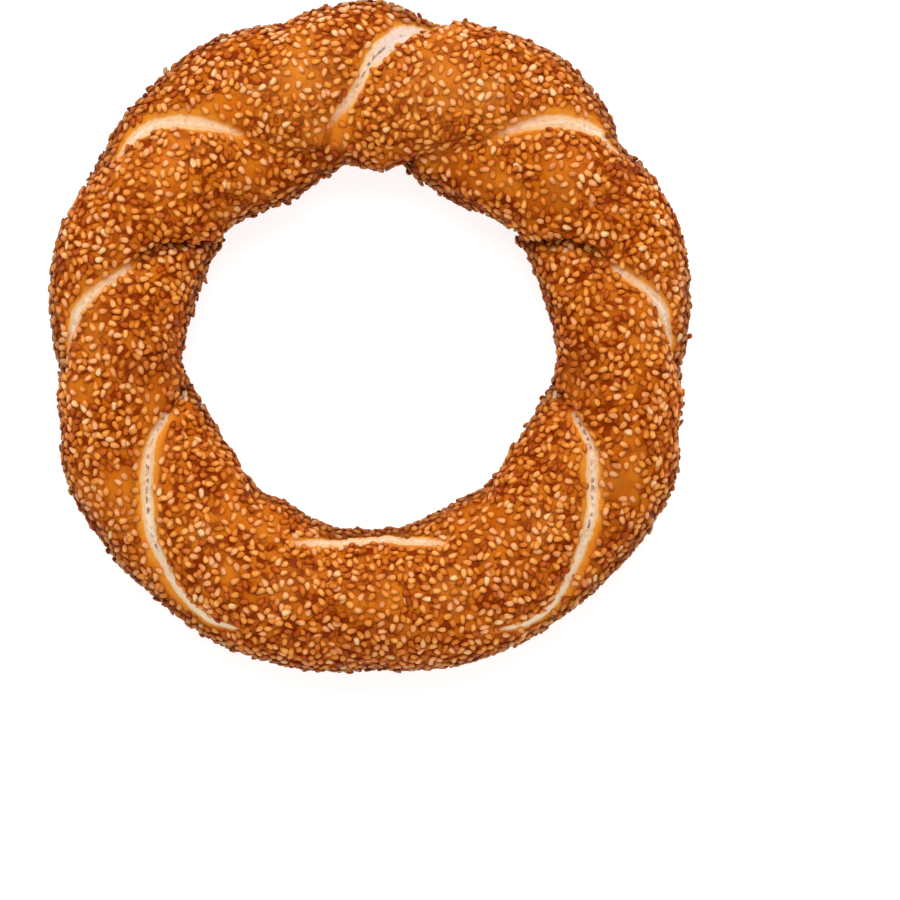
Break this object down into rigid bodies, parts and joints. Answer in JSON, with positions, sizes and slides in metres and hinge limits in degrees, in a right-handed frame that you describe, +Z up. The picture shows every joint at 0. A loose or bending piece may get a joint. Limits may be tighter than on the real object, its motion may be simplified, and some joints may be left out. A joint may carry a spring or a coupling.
{
  "type": "simit",
  "caption": "Ring bread of twisted dough rope, crusted all over with sesame seeds, with an open round middle.",
  "frame": {"origin": "under the middle of the ring's bounding box, on the plane that it lies on", "axes": "+Z up through the open middle, +Y from the middle towards the join where the rope's ends cross, +X to the right seen from above"},
  "size_m": [0.1568, 0.1634, 0.0299],
  "materials": {
    "crust": "baked crust, orange-brown, satin where the glaze is bare, dry and cream-coloured where a seam has opened",
    "sesame": "toasted hulled seeds, golden tan to peach, slightly waxy"
  },
  "bodies": {
    "root": {"simit": "crust"}
  },
  "joints": []
}
